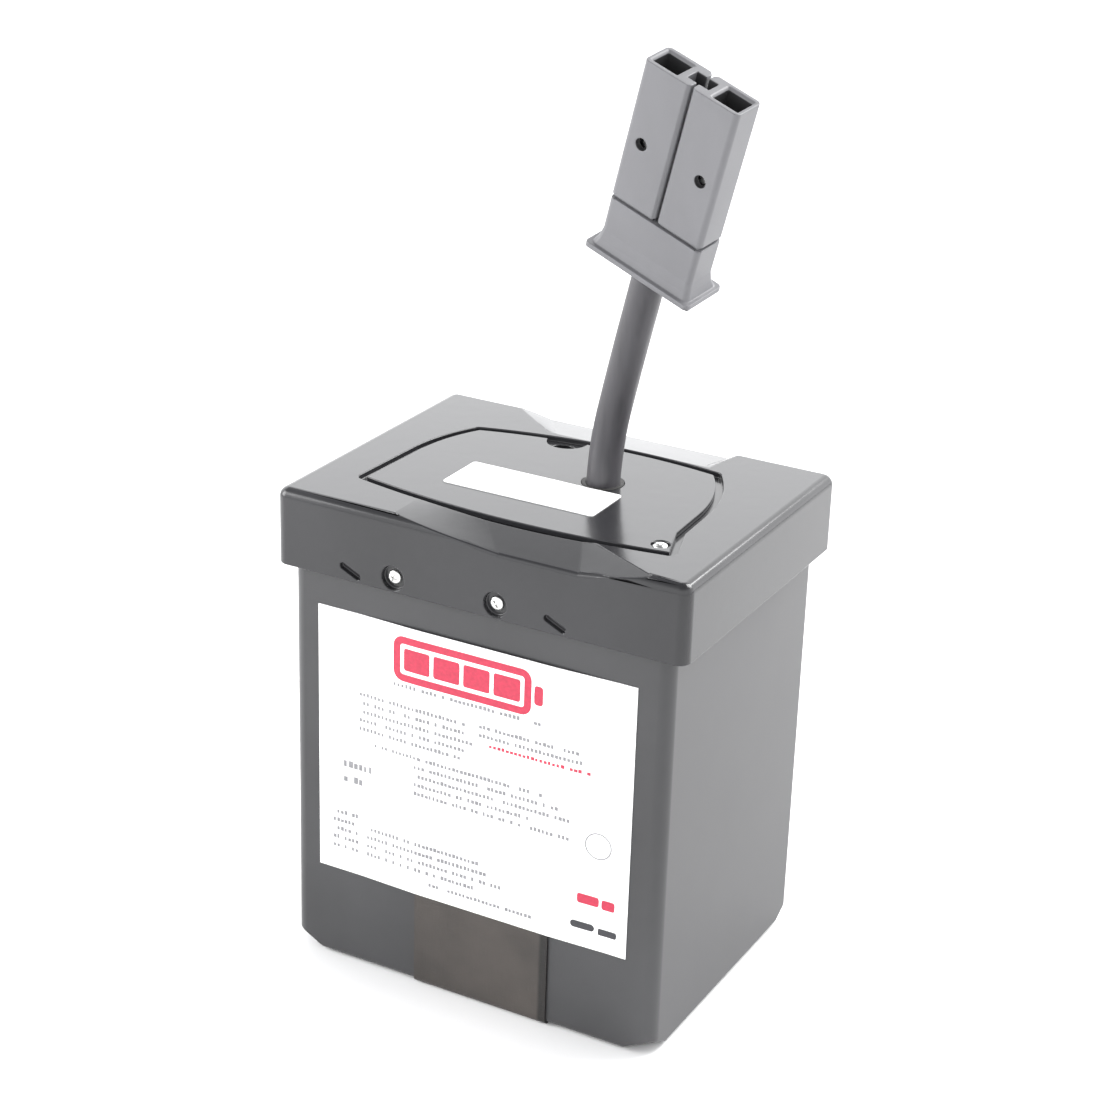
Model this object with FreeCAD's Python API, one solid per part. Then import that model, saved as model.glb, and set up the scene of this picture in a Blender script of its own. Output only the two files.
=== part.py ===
import FreeCAD, Part
import math
import os

from FreeCAD import Rotation, Vector

# UPS battery cartridge: a sealed lead-acid block with a moulded cap over its terminals and a
# short two-core lead that ends in a two-pole connector.
# Millimetres. +Z up, -Y is the label side, origin at the bottom centre of the cartridge.

# ---------------------------------------------------------------- sealed block
block_width = 90.0
block_depth = 70.0
container_height = 92.7
container_corner_radius = 3.0
container_foot_radius = 1.2
foot_relief = 8.0
foot_relief_rise = 4.3

cover_height = 7.5
cover_inset_x = 1.0
cover_inset_y = 1.2
cover_edge_chamfer = 0.6
cover_tray_width = 76.0
cover_tray_depth = 40.0
cover_tray_sink = 3.0

vent_count = 6
vent_sides = 12
vent_pitch = 11.6
vent_bore_radius = 4.2
vent_bore_depth = 3.0
vent_cap_radius = 3.9
vent_cap_height = 2.9
vent_plate_thickness = 1.4
vent_plate_clearance = 0.4

# ---------------------------------------------------------------- band round the block
band_width = 33.0
band_thickness = 0.5
band_x = 2.9
band_reach = 78.0

# ---------------------------------------------------------------- terminals and inner leads
terminal_inset_x = 7.5
terminal_inset_y = 11.8
tab_width = 6.35
tab_thickness = 0.8
tab_height = 4.4
tab_foot = 6.0
receptacle_wall = 0.5
receptacle_clearance = 0.1
receptacle_height = 3.4
barrel_radius = 1.9
barrel_length = 7.0
lead_diameter = 2.8
lead_gap = 0.3
lead_end_gap = 0.2
lead_engagement = 2.4
lead_turn_from_barrel = 12.0

# ---------------------------------------------------------------- cap
cap_height = 17.2
cap_wall = 2.0
cap_clearance_x = 2.35
cap_clearance_y = 0.5
cap_corner_radius = 2.6
cap_edge_radius = 2.2
lid_thickness = 2.8
# Finger scoops: x of the left end, of the floor's two sides and of the right end.
front_scoop_run = 11.2
front_scoop_fall = 2.8
front_scoop_at_crease = (-20.0, -4.0, 19.0, 20.0)
front_scoop_at_edge = (-20.0, 6.0, 24.0, 43.0)
back_scoop_run = 12.2
back_scoop_fall = 1.9
back_scoop_at_crease = (-16.3, -14.0, 22.0, 23.5)
back_scoop_at_edge = (-31.5, -22.0, 22.5, 26.0)
rib_thickness = 1.8
rib_length = 12.0
rib_x = 27.0
rib_inset_front = 9.0
rib_inset_back = 5.0

# ---------------------------------------------------------------- panel let into the lid
panel_front_left = Vector(-35.5, -20.7)
panel_front_right = Vector(37.0, -22.3)
panel_right_knee = Vector(33.8, -12.5)
panel_right_bend = Vector(33.3, -2.0)
panel_back_right = Vector(26.2, 20.8)
panel_back_left = Vector(-29.8, 16.9)
panel_left_bend = Vector(-34.6, 1.0)
panel_front_bow = 3.7
panel_right_bow = 1.7
panel_back_bow = 3.45
panel_left_bow = 0.9
panel_thickness = 1.2
panel_groove = 1.7
notch_share = 0.64
notch_radius = 4.6
notch_opening_radius = 2.9
notch_opening_setback = 2.4

# ---------------------------------------------------------------- screws
screw_head_radius = 1.6
screw_head_height = 1.0
screw_slot_turn = 35.0
screw_shank_radius = 0.9
screw_length = 7.0
screw_clearance = 0.1
screw_slot_width = 0.5
screw_slot_depth = 0.4
skirt_sink_radius = 2.7
skirt_sink = 1.3
skirt_row_x = -7.0
skirt_screw_pitch = 24.4
skirt_row_height = 3.2
skirt_slot_x = -5.3
skirt_slot_pitch = 48.7
skirt_slot_height = 2.3
skirt_slot_length = 5.4
skirt_slot_width = 1.4
skirt_slot_tilt = 25.0
skirt_slot_depth = 1.1
panel_screw_x = 33.7
panel_screw_y = -19.6
panel_screw_sink = 0.8
panel_sink_radius = 2.0
panel_boss_radius = 2.8
panel_boss_length = 3.6

# ---------------------------------------------------------------- labels
label_thickness = 0.2
front_label_left = -38.8
front_label_right = 37.8
front_label_bottom = 21.4
front_label_top = 84.9
front_label_ramp = 14.0
top_label_x = -2.6
top_label_y = -7.7
top_label_width = 36.0
top_label_depth = 13.5
top_label_corner_radius = 0.8

# ---------------------------------------------------------------- lead
jacket_diameter = 7.3
jacket_exit_x = 8.2
jacket_exit_y = 3.9
jacket_inner_end = 1.5
jacket_rise = 7.0
jacket_middle = Vector(12.3, 3.7, 136.8)
jacket_straight = 8.0
jacket_engagement = 2.0
grommet_bore_clearance = 0.05
grommet_wall = 0.9
grommet_flange = 1.8
grommet_flange_thickness = 1.2
grommet_hole_clearance = 0.1

# ---------------------------------------------------------------- connector
connector_foot = Vector(18.9, 0.9, 160.4)
connector_lean_right = 18.2
connector_lean_forward = 12.5
connector_twist = -6.9
connector_width = 23.0
connector_depth = 8.0
connector_length = 45.0
collar_height = 12.6
collar_gap = 0.8
flange_overhang_x = 2.0
flange_overhang_y = 2.0
flange_thickness = 1.2
flare_height = 3.6
flare_knee = 0.4
housing_gap = 0.5
housing_corner_radius = 1.2
housing_joint_chamfer = 0.7
housing_neck_inset = 0.7
socket_width = 5.8
socket_depth = 5.0
socket_outer_wall = 1.2
socket_reach = 21.0
mouth_chamfer = 0.5
key_width = 2.6
key_depth = 3.2
key_reach = 6.0
window_radius = 1.3
window_height = 27.4
contact_width = 4.8
contact_thickness = 1.2
contact_recess = 5.5
spring_thickness = 0.4
spring_width = 3.6
spring_bow = 0.9

# ---------------------------------------------------------------- derived levels
floor_z = band_thickness
shoulder_z = floor_z + container_height
cover_top_z = shoulder_z + cover_height
cap_bottom_z = shoulder_z
cap_top_z = cap_bottom_z + cap_height
ceiling_z = cap_top_z - lid_thickness
pocket_z = cap_top_z - panel_thickness
tray_z = cover_top_z - cover_tray_sink
plate_top_z = tray_z + vent_plate_thickness
cover_width = block_width - 2 * cover_inset_x
cover_depth = block_depth - 2 * cover_inset_y
cap_width = cover_width + 2 * (cap_clearance_x + cap_wall)
cap_depth = cover_depth + 2 * (cap_clearance_y + cap_wall)
cap_front_y = -cap_depth / 2
terminal_x = cover_width / 2 - terminal_inset_x
terminal_y = cover_depth / 2 - terminal_inset_y
skirt_row_z = cap_bottom_z + skirt_row_height
jacket_radius = jacket_diameter / 2
lead_radius = lead_diameter / 2
UP = Vector(0, 0, 1)
# Share of the shorter run that an arc of a lead takes up, and how far a cutting tool runs past a face.
ARC_SHARE = 0.45
past = 1.0
parts = {}


# ---------------------------------------------------------------- shape helpers
def box(x0, x1, y0, y1, z0, z1):
    return Part.makeBox(x1 - x0, y1 - y0, z1 - z0, Vector(x0, y0, z0))


def cylinder(radius, start, end):
    axis = end - start
    return Part.makeCylinder(radius, axis.Length, start, axis)


def face_of(points):
    return Part.Face(Part.makePolygon(points + [points[0]]))


def rounded_rectangle(width, depth, radius, z):
    """Wire of a rectangle with round corners, centred on Z."""
    x = width / 2
    y = depth / 2
    edges = []
    corners = [(x, y), (-x, y), (-x, -y), (x, -y)]
    for index, (cx, cy) in enumerate(corners):
        sx = math.copysign(1, cx)
        sy = math.copysign(1, cy)
        along_x = Vector(cx - sx * radius, cy, z)
        along_y = Vector(cx, cy - sy * radius, z)
        slant = radius * (1 - math.sqrt(0.5))
        middle = Vector(cx - sx * slant, cy - sy * slant, z)
        first, last = (along_y, along_x) if index % 2 == 0 else (along_x, along_y)
        if edges:
            edges.append(Part.LineSegment(edges[-1].EndPoint, first))
        edges.append(Part.Arc(first, middle, last))
    edges.append(Part.LineSegment(edges[-1].EndPoint, edges[0].StartPoint))
    return Part.Wire([edge.toShape() for edge in edges])


def rounded_box(width, depth, radius, z0, z1):
    wire = rounded_rectangle(width, depth, radius, z0)
    return Part.Face(wire).extrude(Vector(0, 0, z1 - z0))


def edges_at(shape, axis, value):
    """Edges that lie wholly in the plane axis = value (axis 0, 1, 2 for x, y, z)."""
    found = []
    for edge in shape.Edges:
        bound = edge.BoundBox
        low = (bound.XMin, bound.YMin, bound.ZMin)[axis]
        high = (bound.XMax, bound.YMax, bound.ZMax)[axis]
        if abs(low - value) < 1e-4 and abs(high - value) < 1e-4:
            found.append(edge)
    return found


def tube_along(points, diameter, name):
    """Round tube along straight runs joined by the largest tangent arcs that the runs allow."""
    edges = []
    start = points[0]
    for before, corner, after in zip(points, points[1:], points[2:]):
        run_in = corner - before
        run_out = after - corner
        half_turn = run_in.getAngle(run_out) / 2
        setback = ARC_SHARE * min(run_in.Length, run_out.Length)
        bend_radius = setback / math.tan(half_turn)
        into = Vector(run_in).normalize()
        out = Vector(run_out).normalize()
        enter = corner - into * setback
        leave = corner + out * setback
        inward = (out - into).normalize()
        middle = corner + inward * bend_radius * (1 / math.cos(half_turn) - 1)
        edges.append(Part.LineSegment(start, enter).toShape())
        edges.append(Part.Arc(enter, middle, leave).toShape())
        start = leave
    edges.append(Part.LineSegment(start, points[-1]).toShape())
    path = Part.Wire(edges)
    circle = Part.Wire([Part.makeCircle(diameter / 2, points[0], points[1] - points[0])])
    print(name, "length", round(path.Length, 2))
    return path.makePipeShell([circle], True, False)


def in_connector(shape):
    """Move a shape from the connector's own frame (Z along its axis) to where it stands."""
    placed = shape.copy()
    placed.rotate(Vector(), UP, connector_twist)
    placed.rotate(Vector(), Vector(1, 0, 0), connector_lean_forward)
    placed.rotate(Vector(), Vector(0, 1, 0), connector_lean_right)
    placed.translate(connector_foot)
    return placed


def connector_point(x, y, z):
    return in_connector(Part.Vertex(x, y, z)).Point


def pan_screw(head_point, into):
    """Slotted pan-head screw: head_point is the centre of the head's underside."""
    out = Vector(into) * -1
    head = cylinder(screw_head_radius, Vector(), UP * screw_head_height)
    slot_floor = screw_head_height - screw_slot_depth
    reach = screw_head_radius + past
    half_slot = screw_slot_width / 2
    head = head.cut(box(-reach, reach, -half_slot, half_slot, slot_floor, screw_head_height + past))
    shank = cylinder(screw_shank_radius, Vector(), UP * -screw_length)
    screw = head.fuse(shank)
    screw.rotate(Vector(), UP, screw_slot_turn)
    turn = Rotation(UP, out)
    screw.rotate(Vector(), turn.Axis, math.degrees(turn.Angle))
    screw.translate(head_point)
    return screw


# ---------------------------------------------------------------- sealed block
def foot_relief_tool(side_x, side_y):
    """Tetrahedron that takes a slanted corner off the foot of the container."""
    x = side_x * block_width / 2
    y = side_y * block_depth / 2
    a = Vector(x - side_x * foot_relief, y, floor_z)
    b = Vector(x, y - side_y * foot_relief, floor_z)
    c = Vector(x, y, floor_z + foot_relief_rise)
    apex = Vector(x + side_x * past, y + side_y * past, floor_z - past)
    faces = [face_of([a, b, c]), face_of([a, b, apex]), face_of([b, c, apex]), face_of([c, a, apex])]
    return Part.makeSolid(Part.makeShell(faces))


def container():
    body = rounded_box(block_width, block_depth, container_corner_radius, floor_z, shoulder_z)
    body = body.makeFillet(container_foot_radius, edges_at(body, 2, floor_z))
    for side_x in (-1, 1):
        for side_y in (-1, 1):
            body = body.cut(foot_relief_tool(side_x, side_y))
    return body


def vent_prism(x, radius, z0, z1):
    """Many-sided post or bore over one cell, radius to its corners."""
    points = []
    for index in range(vent_sides):
        angle = 2 * math.pi * index / vent_sides
        points.append(Vector(x + radius * math.cos(angle), radius * math.sin(angle), z0))
    return face_of(points).extrude(UP * (z1 - z0))


def vent_positions():
    first = -(vent_count - 1) / 2 * vent_pitch
    return [first + index * vent_pitch for index in range(vent_count)]


def skirt_screw_positions():
    return [skirt_row_x - skirt_screw_pitch / 2, skirt_row_x + skirt_screw_pitch / 2]


def battery_cover():
    radius = container_corner_radius
    cover = rounded_box(cover_width, cover_depth, radius, shoulder_z, cover_top_z)
    cover = cover.makeChamfer(cover_edge_chamfer, edges_at(cover, 2, cover_top_z))
    tray = rounded_box(cover_tray_width, cover_tray_depth, radius, tray_z, cover_top_z + past)
    cover = cover.cut(tray)
    for x in vent_positions():
        cover = cover.cut(vent_prism(x, vent_bore_radius, tray_z - vent_bore_depth, tray_z + past))
    pilot_radius = screw_shank_radius + screw_clearance
    for x in skirt_screw_positions():
        start = Vector(x, -block_depth, skirt_row_z)
        end = Vector(x, cap_front_y + skirt_sink + screw_length + past, skirt_row_z)
        cover = cover.cut(cylinder(pilot_radius, start, end))
    return cover


def vent_plate():
    width = cover_tray_width - 2 * vent_plate_clearance
    depth = cover_tray_depth - 2 * vent_plate_clearance
    radius = container_corner_radius - vent_plate_clearance
    return rounded_box(width, depth, radius, tray_z, plate_top_z)


def vent_caps():
    """Rubber caps that sit over the cell vents, one in each bore under the plate."""
    caps = []
    for x in vent_positions():
        foot = tray_z - vent_bore_depth
        caps.append(vent_prism(x, vent_cap_radius, foot, foot + vent_cap_height))
    return Part.makeCompound(caps)


def band():
    """Flat band that runs down the front, under the block and up the back."""
    half = block_depth / 2
    inner = Part.Face(rounded_profile(half, floor_z, container_foot_radius))
    outer_radius = container_foot_radius + band_thickness
    outer = Part.Face(rounded_profile(half + band_thickness, 0, outer_radius))
    loop = outer.cut(inner)
    return loop.extrude(Vector(band_width, 0, 0))


def rounded_profile(half, bottom, radius):
    """Wire in the YZ plane at the band's left side: a U whose lower corners are round."""
    x = band_x - band_width / 2
    slant = radius * (1 - math.sqrt(0.5))
    top_front = Vector(x, -half, band_reach)
    low_front = Vector(x, -half, bottom + radius)
    under_front = Vector(x, -half + radius, bottom)
    under_back = Vector(x, half - radius, bottom)
    low_back = Vector(x, half, bottom + radius)
    top_back = Vector(x, half, band_reach)
    front_middle = Vector(x, -half + slant, bottom + slant)
    back_middle = Vector(x, half - slant, bottom + slant)
    edges = [
        Part.LineSegment(top_front, low_front),
        Part.Arc(low_front, front_middle, under_front),
        Part.LineSegment(under_front, under_back),
        Part.Arc(under_back, back_middle, low_back),
        Part.LineSegment(low_back, top_back),
        Part.LineSegment(top_back, top_front),
    ]
    return Part.Wire([edge.toShape() for edge in edges])


# ---------------------------------------------------------------- terminals and inner leads
def terminal(side):
    """Flat tab terminal: a foot on the cover and an upright blade."""
    x = side * terminal_x
    half = tab_width / 2
    foot_top = cover_top_z + tab_thickness
    foot = box(x - half, x + half, terminal_y, terminal_y + tab_foot, cover_top_z, foot_top)
    blade_top = cover_top_z + tab_height
    blade = box(x - half, x + half, terminal_y, terminal_y + tab_thickness, cover_top_z, blade_top)
    tip = [edge for edge in blade.Edges if abs(edge.Length - tab_thickness) < 1e-6]
    tip = [edge for edge in tip if edge.BoundBox.ZMin > blade_top - 1e-4]
    return blade.makeChamfer(tab_thickness, tip).fuse(foot).removeSplitter()


def receptacle_z():
    top = cover_top_z + tab_height
    return top - receptacle_height, top


def barrel_axis(side):
    """The two ends of a receptacle's crimp barrel, from the sleeve towards the middle."""
    low, top = receptacle_z()
    sleeve_half = tab_width / 2 + receptacle_clearance + receptacle_wall
    y = terminal_y + tab_thickness / 2
    z = low + barrel_radius - receptacle_wall
    start = Vector(side * (terminal_x - sleeve_half), y, z)
    return start, start - Vector(side * barrel_length, 0, 0)


def receptacle(side):
    """Flag receptacle: a sleeve over the blade with a crimp barrel at right angles to it."""
    x = side * terminal_x
    low, top = receptacle_z()
    half = tab_width / 2 + receptacle_clearance
    near = terminal_y - receptacle_clearance
    far = terminal_y + tab_thickness + receptacle_clearance
    wall = receptacle_wall
    sleeve = box(x - half - wall, x + half + wall, near - wall, far + wall, low, top)
    sleeve = sleeve.cut(box(x - half, x + half, near, far, low - past, top + past))
    start, end = barrel_axis(side)
    barrel = cylinder(barrel_radius, start, end)
    shape = sleeve.fuse(barrel)
    wire_stop = lead_start(side)
    return shape.cut(cylinder(lead_radius, wire_stop, end - Vector(side * past, 0, 0)))


def lead_start(side):
    """Where the lead's end stands inside the barrel."""
    start, end = barrel_axis(side)
    return end + Vector(side * lead_engagement, 0, 0)


def inner_lead(side, name):
    """Insulated core from a receptacle to a place just under the foot of the jacket."""
    start, end = barrel_axis(side)
    mouth_x = jacket_exit_x + side * (lead_radius + lead_gap / 2)
    mouth_z = ceiling_z - jacket_inner_end - lead_end_gap - lead_radius
    points = [
        lead_start(side),
        Vector(mouth_x + side * lead_turn_from_barrel, end.y, end.z),
        Vector(mouth_x, jacket_exit_y, mouth_z),
    ]
    return tube_along(points, lead_diameter, name)


# ---------------------------------------------------------------- cap
def scoop_tool(side, run, fall, creases, edges, drop):
    """Solid above a finger scoop, whose floor falls from a crease across the lid to the lid's edge.
    side is -1 for the front and 1 for the back; creases and edges give where the scoop's left end,
    its floor and its right end stand at the crease and at the edge; drop lowers the floor."""
    roof_z = cap_top_z + past
    reach = (run + past) / run
    crease_y = side * (cap_depth / 2 - run)
    edge_y = side * (cap_depth / 2 + past)
    inner = [Vector(x, crease_y, cap_top_z - drop) for x in creases]
    outer = []
    for x_crease, x_edge, depth in zip(creases, edges, (0, fall, fall, 0)):
        x = x_crease + (x_edge - x_crease) * reach
        outer.append(Vector(x, edge_y, cap_top_z - drop - depth * reach))
    wires = []
    for line in (inner, outer):
        roof = [Vector(line[-1].x, line[-1].y, roof_z), Vector(line[0].x, line[0].y, roof_z)]
        wires.append(Part.makePolygon(line + roof + [line[0]]))
    return Part.makeLoft(wires, True, True)


def scoops(drop):
    front_lines = (front_scoop_at_crease, front_scoop_at_edge)
    back_lines = (back_scoop_at_crease, back_scoop_at_edge)
    return [
        scoop_tool(-1, front_scoop_run, front_scoop_fall, *front_lines, drop),
        scoop_tool(1, back_scoop_run, back_scoop_fall, *back_lines, drop),
    ]


def bowed(first, last, bow):
    """Arc from first to last, bowed to the right of the way from one to the other."""
    along = last - first
    outward = Vector(along.y, -along.x, 0).normalize()
    return Part.Arc(first, (first + last) * 0.5 + outward * bow, last).toShape()


def panel_outline():
    """Barrel-shaped outline at the pocket's floor: four bowed sides and a lug for the screw."""
    edges = [
        bowed(panel_front_left, panel_front_right, panel_front_bow),
        Part.LineSegment(panel_front_right, panel_right_knee).toShape(),
        Part.LineSegment(panel_right_knee, panel_right_bend).toShape(),
        bowed(panel_right_bend, panel_back_right, panel_right_bow),
        panel_back_edge(),
        bowed(panel_back_left, panel_left_bend, panel_left_bow),
        Part.LineSegment(panel_left_bend, panel_front_left).toShape(),
    ]
    outline = Part.Wire(edges)
    outline.translate(UP * pocket_z)
    return outline


def panel_back_edge():
    return bowed(panel_back_right, panel_back_left, panel_back_bow)


def notch_tool(radius, setback, z0, z1):
    """Upright cylinder round the point of the panel's back edge where the finger notch stands."""
    edge = panel_back_edge()
    first, last = edge.ParameterRange
    centre = edge.valueAt(first + notch_share * (last - first)) - Vector(0, setback, 0)
    return cylinder(radius, centre + UP * z0, centre + UP * z1)


def cable_hole():
    radius = jacket_radius + grommet_wall + grommet_hole_clearance
    foot = Vector(jacket_exit_x, jacket_exit_y, cover_top_z)
    return cylinder(radius, foot, Vector(jacket_exit_x, jacket_exit_y, cap_top_z + past))


def skirt_slot(x):
    """Slanted catch recess in the front skirt."""
    straight = skirt_slot_length - skirt_slot_width
    radius = skirt_slot_width / 2
    slot = box(-straight / 2, straight / 2, -past, skirt_slot_depth, -radius, radius)
    for side in (-1, 1):
        end = Vector(side * straight / 2, 0, 0)
        slot = slot.fuse(cylinder(radius, end - Vector(0, past, 0), end + Vector(0, skirt_slot_depth, 0)))
    slot.rotate(Vector(), Vector(0, 1, 0), skirt_slot_tilt)
    slot.translate(Vector(x, cap_front_y, cap_bottom_z + skirt_slot_height))
    return slot


def seat_ribs():
    """Ribs under the lid that stand on the battery cover."""
    ribs = []
    inner_front = cap_front_y + cap_wall
    inner_back = -inner_front
    for side in (-1, 1):
        left = side * rib_x - rib_length / 2
        for y in (inner_front + rib_inset_front, inner_back - rib_inset_back):
            half = rib_thickness / 2
            ribs.append(box(left, left + rib_length, y - half, y + half, cover_top_z, cap_top_z))
    return ribs


def panel_boss():
    """Boss under the lid that the panel's screw goes into."""
    foot = Vector(panel_screw_x, panel_screw_y, ceiling_z - panel_boss_length)
    return cylinder(panel_boss_radius, foot, foot + UP * cap_height)


def cap_shell():
    outer = rounded_box(cap_width, cap_depth, cap_corner_radius, cap_bottom_z, cap_top_z)
    outer = outer.makeFillet(cap_edge_radius, edges_at(outer, 2, cap_top_z))
    outer = outer.cut(scoops(0))
    width = cap_width - 2 * cap_wall
    depth = cap_depth - 2 * cap_wall
    radius = cap_corner_radius - cap_wall
    cavity = rounded_box(width, depth, radius, cap_bottom_z - past, ceiling_z)
    cavity = cavity.cut(scoops(lid_thickness) + seat_ribs() + [panel_boss()])
    shell = outer.cut(cavity)
    pocket = Part.Face(panel_outline().makeOffset2D(panel_groove))
    shell = shell.cut(pocket.extrude(UP * (panel_thickness + past)))
    opening = notch_tool(notch_opening_radius, notch_opening_setback, ceiling_z - past, cap_top_z)
    shell = shell.cut([opening, cable_hole()])
    for x in skirt_screw_positions():
        mouth = Vector(x, cap_front_y - past, skirt_row_z)
        sink = Vector(x, cap_front_y + skirt_sink, skirt_row_z)
        inside = Vector(x, cap_front_y + cap_wall + past, skirt_row_z)
        shell = shell.cut(cylinder(skirt_sink_radius, mouth, sink))
        shell = shell.cut(cylinder(screw_shank_radius + screw_clearance, mouth, inside))
    for side in (-1, 1):
        shell = shell.cut(skirt_slot(skirt_slot_x + side * skirt_slot_pitch / 2))
    screw_foot = Vector(panel_screw_x, panel_screw_y, cover_top_z)
    screw_bore = cylinder(screw_shank_radius + screw_clearance, screw_foot, screw_foot + UP * cap_height)
    return shell.cut(screw_bore)


def cap_panel():
    panel = Part.Face(panel_outline()).extrude(UP * panel_thickness)
    panel = panel.cut(cable_hole())
    panel = panel.cut(notch_tool(notch_radius, 0, pocket_z - past, cap_top_z + past))
    screw_top = Vector(panel_screw_x, panel_screw_y, cap_top_z + past)
    sink_floor = Vector(panel_screw_x, panel_screw_y, cap_top_z - panel_screw_sink)
    bore_foot = Vector(panel_screw_x, panel_screw_y, ceiling_z)
    panel = panel.cut(cylinder(panel_sink_radius, sink_floor, screw_top))
    return panel.cut(cylinder(screw_shank_radius + screw_clearance, bore_foot, screw_top))


def skirt_screws():
    screws = []
    for x in skirt_screw_positions():
        screws.append(pan_screw(Vector(x, cap_front_y + skirt_sink, skirt_row_z), Vector(0, 1, 0)))
    return Part.makeCompound(screws)


def panel_screw():
    return pan_screw(Vector(panel_screw_x, panel_screw_y, cap_top_z - panel_screw_sink), Vector(0, 0, -1))


# ---------------------------------------------------------------- labels
def front_label():
    """Printed sheet on the front: it rides over the band on a gentle ramp at each side."""
    face_y = -block_depth / 2
    band_y = face_y - band_thickness
    band_left = band_x - band_width / 2
    band_right = band_x + band_width / 2
    back_line = [
        (front_label_left, face_y),
        (band_left - front_label_ramp, face_y),
        (band_left, band_y),
        (band_right, band_y),
        (band_right + front_label_ramp, face_y),
        (front_label_right, face_y),
    ]
    back = [Vector(x, y, front_label_bottom) for x, y in back_line]
    front = [point - Vector(0, label_thickness, 0) for point in reversed(back)]
    return face_of(back + front).extrude(UP * (front_label_top - front_label_bottom))


def top_label():
    top = cap_top_z + label_thickness
    sheet = rounded_box(top_label_width, top_label_depth, top_label_corner_radius, cap_top_z, top)
    sheet.translate(Vector(top_label_x, top_label_y, 0))
    return sheet


# ---------------------------------------------------------------- lead and grommet
def jacket():
    """Outer jacket of the lead, from under the lid to inside the connector's flange."""
    foot = Vector(jacket_exit_x, jacket_exit_y, ceiling_z - jacket_inner_end)
    above = Vector(jacket_exit_x, jacket_exit_y, cap_top_z + jacket_rise)
    near_end = connector_point(0, 0, -jacket_straight)
    end = connector_point(0, 0, jacket_engagement)
    route = [foot, above, jacket_middle, near_end, end]
    print("jacket route", [tuple(round(value, 2) for value in point) for point in route])
    return tube_along(route, jacket_diameter, "jacket")


def grommet():
    """Rubber grommet: an inner flange under the lid and a neck that ends flush with its top."""
    neck = jacket_radius + grommet_wall
    flange = neck + grommet_flange
    bore = jacket_radius + grommet_bore_clearance
    flange_z = ceiling_z - grommet_flange_thickness
    section = [
        Vector(bore, 0, flange_z),
        Vector(flange, 0, flange_z),
        Vector(flange, 0, ceiling_z),
        Vector(neck, 0, ceiling_z),
        Vector(neck, 0, cap_top_z),
        Vector(bore, 0, cap_top_z),
    ]
    ring = face_of(section).revolve(Vector(), UP, 360)
    ring.translate(Vector(jacket_exit_x, jacket_exit_y, 0))
    return ring


# ---------------------------------------------------------------- connector
def rounded_loft(sections):
    """Ruled solid through rounded rectangles given as (width, depth, z)."""
    wires = []
    for width, depth, z in sections:
        wires.append(rounded_rectangle(width, depth, housing_corner_radius, z))
    return Part.makeLoft(wires, True, True)


def collar():
    """Collar at the lead's end: a straight body that flares into a thin flange."""
    flange_width = connector_width + 2 * flange_overhang_x
    flange_depth = connector_depth + 2 * flange_overhang_y
    knee_x = flare_knee * flange_overhang_x
    knee_y = flare_knee * flange_overhang_y
    body = rounded_loft([
        (flange_width, flange_depth, 0),
        (flange_width, flange_depth, flange_thickness),
    ])
    flare = rounded_loft([
        (connector_width + flange_overhang_x, connector_depth + flange_overhang_y, flange_thickness),
        (connector_width + knee_x, connector_depth + knee_y, flange_thickness + flare_knee * flare_height),
        (connector_width, connector_depth, flange_thickness + flare_height),
        (connector_width, connector_depth, collar_height),
    ])
    shape = body.fuse(flare).removeSplitter()
    bore = cylinder(jacket_radius + grommet_bore_clearance, UP * -past, UP * jacket_engagement)
    return in_connector(shape.cut(bore))


def socket_centre():
    return connector_width / 2 - socket_outer_wall - socket_width / 2


def housing(side):
    """One pole's housing: a block with a socket at its mating end, a window and a key notch."""
    half_width = connector_width / 2
    inner = housing_gap / 2
    width = half_width - inner
    centre = inner + width / 2
    bottom = collar_height + collar_gap
    body = rounded_box(width, connector_depth, housing_corner_radius, bottom, connector_length)
    body.translate(Vector(centre, 0, 0))
    joint = box(inner, centre, -connector_depth / 2, connector_depth / 2, bottom, connector_length)
    joint_edges = []
    for edge in joint.Edges:
        bound = edge.BoundBox
        if bound.XMax < inner + 1e-4 and bound.ZMax - bound.ZMin > 1:
            joint_edges.append(edge)
    body = body.fuse(joint.makeChamfer(housing_joint_chamfer, joint_edges)).removeSplitter()
    neck_inset = housing_neck_inset
    neck_half = connector_depth / 2 - neck_inset
    neck = box(inner + neck_inset, half_width - neck_inset, -neck_half, neck_half, collar_height, bottom)
    body = body.fuse(neck)
    x = socket_centre()
    socket_x = (x - socket_width / 2, x + socket_width / 2)
    socket_y = socket_depth / 2
    floor = connector_length - socket_reach
    body = body.cut(box(socket_x[0], socket_x[1], -socket_y, socket_y, floor, connector_length + past))
    mouth = mouth_chamfer
    lip = connector_length - mouth
    mouth_low = Part.makePolygon(rectangle_points(x, socket_width, socket_depth, lip))
    mouth_high = rectangle_points(x, socket_width + 4 * mouth, socket_depth + 4 * mouth, lip + 2 * mouth)
    body = body.cut(Part.makeLoft([mouth_low, Part.makePolygon(mouth_high)], True, True))
    key_y = key_depth / 2
    key_floor = connector_length - key_reach
    body = body.cut(box(0, key_width, -key_y, key_y, key_floor, connector_length + past))
    window_start = Vector(x, -connector_depth, window_height)
    body = body.cut(cylinder(window_radius, window_start, Vector(x, 0, window_height)))
    if side < 0:
        body = body.mirror(Vector(), Vector(1, 0, 0))
    return in_connector(body)


def rectangle_points(x, width, depth, z):
    corners = [(-1, -1), (1, -1), (1, 1), (-1, 1), (-1, -1)]
    return [Vector(x + sx * width / 2, sy * depth / 2, z) for sx, sy in corners]


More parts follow.
